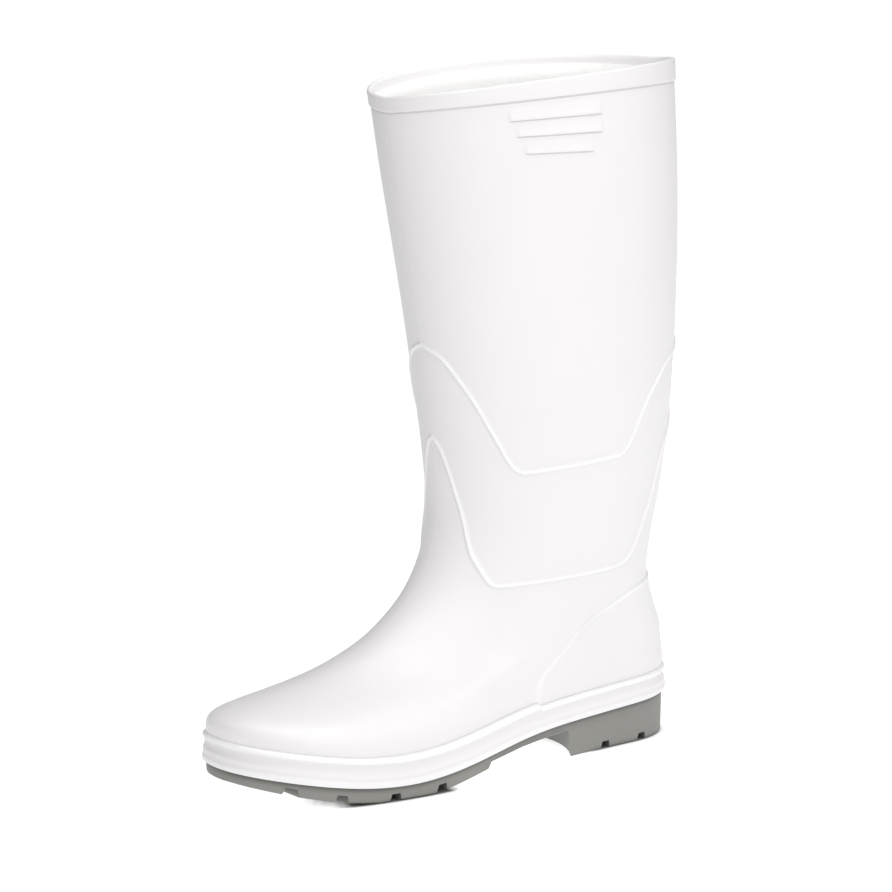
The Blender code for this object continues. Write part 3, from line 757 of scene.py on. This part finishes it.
# Long channels on the heel and forefoot: share of the half width, half width of the channel, depth
CHANNEL_SHARE = 0.36
CHANNEL_HALF = 0.045
CHANNEL_DRAFT = 0.02
CHANNEL_DEPTH = 2.0
CHANNEL_RUNS = ((10.0, 14.0, 70.0, 76.0), (158.0, 172.0, 244.0, 258.0))
# Places across the tread by share of its half width; rise of its rounded edge; least thickness there
TREAD_SHARES = (0.0, 0.1, 0.2, 0.6, 0.75, 0.9, 0.975, 1.0)
TREAD_EDGE = 0.7
TREAD_LEAST = 0.5
# Rows down the side: share of the way from the foxing to the floor
SIDE_ROWS = np.array((0.12, 0.3, 0.5, 0.7, 0.88))
SIDE_ROW_GAP = 0.1
TOP_SHARES = (1.0, 0.5, 0.0, -0.5, -1.0)
# Painted shade on the outsole's side just under the foxing, over this depth, and along the sides of the arch
SIDE_SHADE_DEPTH = 3.0
ARCH_RUN = (88.0, 96.0, 140.0, 165.0)
ARCH_SHADE = 0.35


def tread_profile():
    """Bottom line of the outsole with its cross grooves: along, height."""
    along, height = np.array(TREAD).T
    points = list(TREAD)
    for middle in GROOVES:
        floor_half = GROOVE_WIDTH / 2
        mouth_half = floor_half + GROOVE_DRAFT
        points = [point for point in points if abs(point[0] - middle) > mouth_half]
        offsets = (-mouth_half, -floor_half, floor_half, mouth_half)
        for offset, depth in zip(offsets, (0, GROOVE_DEPTH, GROOVE_DEPTH, 0)):
            points.append((middle + offset, float(np.interp(middle + offset, along, height)) + depth))
    return np.array(sorted(points)).T


def across_shares():
    """Places across the tread from the inner edge to the outer one, with the channels' walls."""
    walls = (-CHANNEL_HALF - CHANNEL_DRAFT, -CHANNEL_HALF, CHANNEL_HALF, CHANNEL_HALF + CHANNEL_DRAFT)
    one_side = list(TREAD_SHARES) + [CHANNEL_SHARE + offset for offset in walls]
    return np.array(sorted({side * share for side in (-1, 1) for share in one_side}))


def edge_curve(outline):
    """Across of half an outline as a curve of along, and the places along of its heel and toe."""
    return lambda along: np.interp(along, -outline[:, 1], outline[:, 0]), -outline[0, 1], -outline[-1, 1]


half_turn = np.linspace(0.0, np.pi, OUTLINE_SAMPLES)
outer_across, heel_tip, toe_tip = edge_curve(lip_outline(half_turn, OUTSOLE_INSET))
inner_across, _, _ = edge_curve(lip_outline(-half_turn, OUTSOLE_INSET))
first_station, last_station = heel_tip + TIP_STATION, toe_tip - TIP_STATION
profile_along, profile_height = tread_profile()
even_share = (1.0 - np.cos(np.linspace(0.0, np.pi, EVEN_STATIONS))) / 2.0
close = [np.arange(a - CLOSE_REACH, a + CLOSE_REACH, CLOSE_STATION) for a in profile_along]
stations = np.concatenate([first_station + (last_station - first_station) * even_share] + close)
stations = np.unique(np.round(stations[(stations >= first_station) & (stations <= last_station)], 2))
stations[0], stations[-1] = first_station, last_station

shares = across_shares()
channel_wall = (CHANNEL_HALF + CHANNEL_DRAFT - np.abs(np.abs(shares) - CHANNEL_SHARE)) / CHANNEL_DRAFT
channel = np.clip(channel_wall, 0.0, 1.0)
tread_rings = []
tread_shade = []
for along in stations:
    outer, inner = float(outer_across(along)), float(inner_across(along))
    middle, half = (outer + inner) / 2, (outer - inner) / 2
    top = float(sole_line(along)) - JOINT_GAP
    bottom = float(np.mean(np.interp(along + np.array(CORNER_SOFTENING), profile_along, profile_height)))
    plain_bottom = float(np.interp(along, *zip(*TREAD)))
    depth = CHANNEL_DEPTH * max(float(rise_and_fall(along, run)) for run in CHANNEL_RUNS)
    heights = np.maximum(plain_bottom + depth * channel, bottom)
    heights = np.minimum(heights + TREAD_EDGE * (np.abs(shares) == 1.0), top - TREAD_LEAST)
    bow = HEEL_FRONT_BOW * float(rise_and_fall(along, HEEL_BOW_RUN))
    under_across = middle + half * OUTSOLE_TAPER * shares
    under = np.stack([under_across, bow * (1 - shares ** 2) - along, heights], axis=-1)
    sunk = np.clip((heights - plain_bottom) / GROOVE_DEPTH, 0.0, 1.0)
    over = np.array([[middle + half * share, -along, top] for share in TOP_SHARES])
    row_heights = top - SIDE_ROWS * (top - plain_bottom)
    row_halves = half * (1.0 + (OUTSOLE_TAPER - 1.0) * SIDE_ROWS)
    sides = []
    for side, edge in ((-1.0, under[0]), (1.0, under[-1])):
        clear = np.maximum(row_heights, edge[2] + SIDE_ROW_GAP * (1.0 - SIDE_ROWS))
        sides.append(np.stack([middle + side * row_halves, np.full_like(SIDE_ROWS, -along), clear], axis=-1))
    tread_rings.append(np.concatenate([over, sides[0], under, sides[1][::-1]]))
    # Painted shade under the foxing's lip, along the arch and in the floors of the grooves
    side_shade = np.clip(1.0 - (top - row_heights) / SIDE_SHADE_DEPTH, 0.0, 1.0)
    side_shade = np.maximum(side_shade, ARCH_SHADE * float(rise_and_fall(along, ARCH_RUN)))
    tread_shade.append(np.concatenate([np.ones(len(over)), side_shade, sunk, side_shade[::-1]]))
tread_points = np.stack(tread_rings)
tread_rows, tread_columns = tread_points.shape[:2]


def tread_end(first):
    """Faces that close one end of the outsole, in level strips from side to side."""
    ring = list(range(first, first + tread_columns))
    top_count = len(TOP_SHARES)
    inner = ring[top_count:top_count + len(SIDE_ROWS)]
    outer = ring[:-len(SIDE_ROWS) - 1:-1]
    faces = [tuple(ring[:top_count]) + (inner[0], outer[0])]
    for k in range(len(SIDE_ROWS) - 1):
        faces.append((inner[k], inner[k + 1], outer[k + 1], outer[k]))
    return faces + [tuple(ring[top_count + len(SIDE_ROWS) - 1:tread_columns - len(SIDE_ROWS) + 1])]


tread_faces = ring_faces(tread_rows, tread_columns)
tread_faces += tread_end(0) + tread_end((tread_rows - 1) * tread_columns)

TREAD_GREY = (0.216, 0.213, 0.197, 1.0)
TREAD_PALE = (0.264, 0.260, 0.242, 1.0)
# Colour of the painted shade on the outsole
TREAD_DARK = (0.052, 0.052, 0.048, 1.0)
TREAD_SHARP_DEGREES = 50.0
CLOUD_NOISE = (30.0, 4.0)
SPECK_NOISE = (700.0, 3.0)
SPECK_SHARE = 0.3
TREAD_SHADE = 0.85
TREAD_ROUGHNESS = 0.48
CLOUD_ROUGHNESS = 0.12
SPECK_ROUGHNESS = 0.08
TREAD_GRAIN_NOISE = (1500.0, 2.0)
TREAD_GRAIN_RELIEF = 0.05
RIPPLE_NOISE = (230.0, 2.0)
RIPPLE_RELIEF = 0.06
grey_pvc = Finish("outsole_grey_pvc", {"IOR": 1.5, "Coat Weight": 0.05, "Coat Roughness": 0.35})
cloud = grey_pvc.noise(*CLOUD_NOISE)
speck = grey_pvc.noise(*SPECK_NOISE)
tread_tone = grey_pvc.mix(cloud * (1.0 - SPECK_SHARE) + speck * SPECK_SHARE, TREAD_GREY, TREAD_PALE)
grey_pvc.feed("Base Color", grey_pvc.mix(grey_pvc.mark("painted_shade") * TREAD_SHADE, tread_tone, TREAD_DARK))
grey_pvc.feed("Roughness", TREAD_ROUGHNESS + CLOUD_ROUGHNESS * cloud + SPECK_ROUGHNESS * speck)
tread_grain = grey_pvc.bump(grey_pvc.noise(*TREAD_GRAIN_NOISE), TREAD_GRAIN_RELIEF)
tread_ripple = grey_pvc.noise(*RIPPLE_NOISE)
grey_pvc.feed("Normal", grey_pvc.bump(tread_ripple, RIPPLE_RELIEF, under=tread_grain))
outsole_piece = make_piece("boot_outsole", tread_points, tread_faces, {"painted_shade": np.stack(tread_shade)},
                           grey_pvc, TREAD_SHARP_DEGREES)
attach(outsole_piece, "root")
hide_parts("outsole")

# Insole: a loose foot bed of soft foam faced with a grey knit, cut to the inside of the foot.
# It lies on the bottom plate of the foxing, a little dished under the heel and rounded along its edge.
INSOLE_THICKNESS = 4.0
INSOLE_STATIONS = 150
# Wall of the upper, and the gap that the foot bed keeps from it
INSOLE_WALL = 2.2
INSOLE_GAP = 0.7
# Half of the foot bed from its middle to its rolled edge: share of the half width, height over the flat top
INSOLE_HALF = ((0.0, 0.0), (0.25, 0.0), (0.5, 0.0), (0.7, 0.0),
               (0.85, 0.05), (0.95, 0.0), (0.985, -0.35), (1.0, -1.1))
INSOLE_DISH = 0.9
INSOLE_DISH_RUN = (12.0, 40.0, 60.0, 110.0)


def bed_outline(angles):
    return skin(angles, np.zeros_like(angles), np.full_like(angles, -INSOLE_WALL - INSOLE_GAP))


bed_outer, bed_heel, bed_toe = edge_curve(bed_outline(half_turn))
bed_inner, _, _ = edge_curve(bed_outline(-half_turn))
half_shares, half_roll = np.array(INSOLE_HALF).T
bed_shares = np.concatenate([-half_shares[:0:-1], half_shares])
bed_roll = np.concatenate([half_roll[:0:-1], half_roll])
bed_stations = (1.0 - np.cos(np.linspace(0.0, np.pi, INSOLE_STATIONS))) / 2.0
bed_first, bed_last = bed_heel + TIP_STATION, bed_toe - TIP_STATION
bed_rings = []
for along in bed_first + (bed_last - bed_first) * bed_stations:
    outer, inner = float(bed_outer(along)), float(bed_inner(along))
    middle, half = (outer + inner) / 2, (outer - inner) / 2
    base = float(sole_line(along)) + PLATE_HEIGHT
    dish = INSOLE_DISH * float(rise_and_fall(along, INSOLE_DISH_RUN))
    across = middle + half * bed_shares
    top = base + INSOLE_THICKNESS + bed_roll - dish * (1.0 - bed_shares ** 2)
    upside = np.stack([across, np.full_like(across, -along), top], axis=-1)
    downside = np.stack([across, np.full_like(across, -along), np.full_like(across, base)], axis=-1)
    bed_rings.append(np.concatenate([upside, downside[::-1]]))
bed_points = np.stack(bed_rings)
bed_rows, bed_columns = bed_points.shape[:2]
bed_faces = ring_faces(bed_rows, bed_columns)
bed_faces += [tuple(range(bed_columns)), tuple(range((bed_rows - 1) * bed_columns, bed_rows * bed_columns))]

BED_LIGHT = (0.62, 0.62, 0.60, 1.0)
BED_DARK = (0.40, 0.40, 0.385, 1.0)
BED_SHARP_DEGREES = 60.0
BED_MESH = 1.8
BED_CLOUD_NOISE = (40.0, 3.0)
BED_CLOUD_SHARE = 0.3
BED_FUZZ_NOISE = (1200.0, 2.0)
BED_FUZZ_SHARE = 0.3
BED_RELIEF = 0.2
bed_knit = Finish("insole_knit", {"Roughness": 0.9, "Sheen Weight": 0.2, "Sheen Roughness": 0.5})
mesh_scale = 2.0 * np.pi / (BED_MESH * MM)
mesh_place = bed_knit.stretched((mesh_scale, mesh_scale, mesh_scale))
crossways, lengthways = (bed_knit.node("ShaderNodeSeparateXYZ", {}, (mesh_place,), axis) for axis in (0, 1))
weave = (0.5 + 0.5 * crossways.math("SINE")) * (0.5 + 0.5 * lengthways.math("SINE"))
bed_shade = weave * (1.0 - BED_CLOUD_SHARE) + bed_knit.noise(*BED_CLOUD_NOISE) * BED_CLOUD_SHARE
bed_knit.feed("Base Color", bed_knit.mix(bed_shade, BED_DARK, BED_LIGHT))
bed_fuzz = bed_knit.noise(*BED_FUZZ_NOISE) * BED_FUZZ_SHARE
bed_knit.feed("Normal", bed_knit.bump(weave + bed_fuzz, BED_RELIEF))
insole_piece = make_piece("boot_insole", bed_points, bed_faces, {}, bed_knit, BED_SHARP_DEGREES)
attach(insole_piece, "root")
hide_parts("insole")

# Floor: a wide pale studio floor with a glow of its own, so that it stays white behind the boot.
# The glow sinks under the tread, as a contact shade, and far to both sides, which shapes the boot's edges.
FLOOR_REACH = 40000.0
FLOOR_WHITE = (0.25, 0.25, 0.25, 1.0)
FLOOR_GLOW = 1.0
FLOOR_COLUMN_DEGREES = 3.0
# Glow round the boot: inset from the foxing's lip, share of the glow
FLOOR_RINGS = ((24.0, 0.0), (3.5, 0.0), (1.5, 0.7), (-1.0, 0.85), (-6.0, 0.9), (-300.0, 0.92), (-1500.0, 1.0))
# Where the tread touches the floor and shades it: along
CONTACT_RUNS = ((0.0, 6.0, 64.0, 80.0), (170.0, 178.0, 234.0, 248.0))
# Lit strip of the floor along the photo's line of sight, in metres: direction across it and along it,
# its middle, half width at the boot, widening, where that starts, fade at its edges, loss of glow beyond
DIM_ACROSS = (-0.606, -0.795, 0.0)
DIM_AWAY = (-0.795, 0.606, 0.0)
DIM_MIDDLE = -0.15
DIM_START = 0.42
DIM_WIDENING = 0.17
DIM_NEAREST = -1.0
DIM_FADE = 1.0
DIM_LOSS = 0.6

floor_angles = np.radians(np.arange(0.0, 360.0, FLOOR_COLUMN_DEGREES))
floor_rings = [lip_outline(floor_angles, inset) for inset, _ in FLOOR_RINGS]
floor_rings.append(unit(floor_rings[-1] - floor_rings[-1].mean(axis=0)) * FLOOR_REACH)
floor_plan = np.stack(floor_rings)
floor_points = np.concatenate([floor_plan, np.zeros(floor_plan.shape[:2] + (1,))], axis=-1)
floor_open = np.array([share for _, share in FLOOR_RINGS] + [1.0])[:, None]
floor_touched = sum(rise_and_fall(-floor_plan[..., 1], run) for run in CONTACT_RUNS)
floor_paint = Finish("floor_paint", {"Base Color": FLOOR_WHITE, "Roughness": 0.75,
                                     "Emission Strength": FLOOR_GLOW})
across_floor, away_floor = (floor_paint.node("ShaderNodeVectorMath", {"operation": "DOT_PRODUCT"},
                                             (floor_paint.place, direction), "Value")
                            for direction in (DIM_ACROSS, DIM_AWAY))
dim_edge = DIM_START + DIM_WIDENING * away_floor.math("MAXIMUM", DIM_NEAREST)
past_edge = (across_floor - DIM_MIDDLE).math("ABSOLUTE") - dim_edge
dim_share = floor_paint.node("ShaderNodeMapRange", {"interpolation_type": "SMOOTHSTEP"},
                             {"Value": past_edge, "From Min": 0.0, "From Max": DIM_FADE})
lit_share = (1.0 - DIM_LOSS * dim_share) * floor_paint.mark("open")
floor_paint.feed("Emission Color", floor_paint.mix(lit_share, BLACK, WHITE))
floor_faces = ring_faces(*floor_plan.shape[:2]) + ladder(0, len(floor_angles))
floor = make_piece("studio_floor", floor_points, floor_faces,
                   {"open": 1.0 - (1.0 - floor_open) * floor_touched}, floor_paint)

# Light: an even white studio with three round soft boxes: one before the boot's outer side,
# one beside the heel and one hung above the toe.
STUDIO_STRENGTH = 0.18
# Soft lights, in metres and watts: name, place, point that it faces, width, power
SOFT_LIGHTS = (
    ("soft_front", (1.1, -0.6, 1.08), (0.0, 0.0, 0.17), 1.6, 11.9),
    ("soft_right", (1.35, 1.2, 1.1), (0.0, 0.0, 0.25), 1.5, 10.5),
    ("soft_above", (0.15, -0.16, 1.75), (0.0, -0.1, 0.05), 1.4, 15.8),
)
studio = bpy.data.worlds.new("white_studio")
studio.use_nodes = True
backdrop = studio.node_tree.nodes["Background"]
backdrop.inputs["Color"].default_value = WHITE
backdrop.inputs["Strength"].default_value = STUDIO_STRENGTH
bpy.context.scene.world = studio
bpy.context.scene.view_settings.view_transform = "Standard"


def aimed(thing, place, target):
    thing.location = place
    thing.rotation_euler = (Vector(target) - Vector(place)).to_track_quat("-Z", "Y").to_euler()
    bpy.context.scene.collection.objects.link(thing)


for name, place, target, width, watts in SOFT_LIGHTS:
    lamp = bpy.data.lights.new(name, "AREA")
    lamp.shape = "DISK"
    lamp.size = width
    lamp.energy = watts
    aimed(bpy.data.objects.new(name, lamp), place, target)

# Camera: a long lens on a tripod, a little above the boot's middle, turned from the toe to the outer side.
# Angles are in degrees, distances in metres, the lens and its sensor in millimetres.
CAMERA_AZIMUTH = 52.7
CAMERA_ELEVATION = 9.8
CAMERA_DISTANCE = 1.637
CAMERA_TARGET = (0.0, -0.0027, 0.170)
SENSOR = 36.0
LENS = 125.3
turn, tilt = np.radians(CAMERA_AZIMUTH), np.radians(CAMERA_ELEVATION)
back = Vector((np.sin(turn) * np.cos(tilt), -np.cos(turn) * np.cos(tilt), np.sin(tilt)))
view = bpy.data.cameras.new("studio_camera")
view.sensor_width = SENSOR
view.lens = LENS
camera = bpy.data.objects.new("studio_camera", view)
aimed(camera, Vector(CAMERA_TARGET) + back * CAMERA_DISTANCE, CAMERA_TARGET)
bpy.context.scene.camera = camera

bpy.context.view_layer.update()
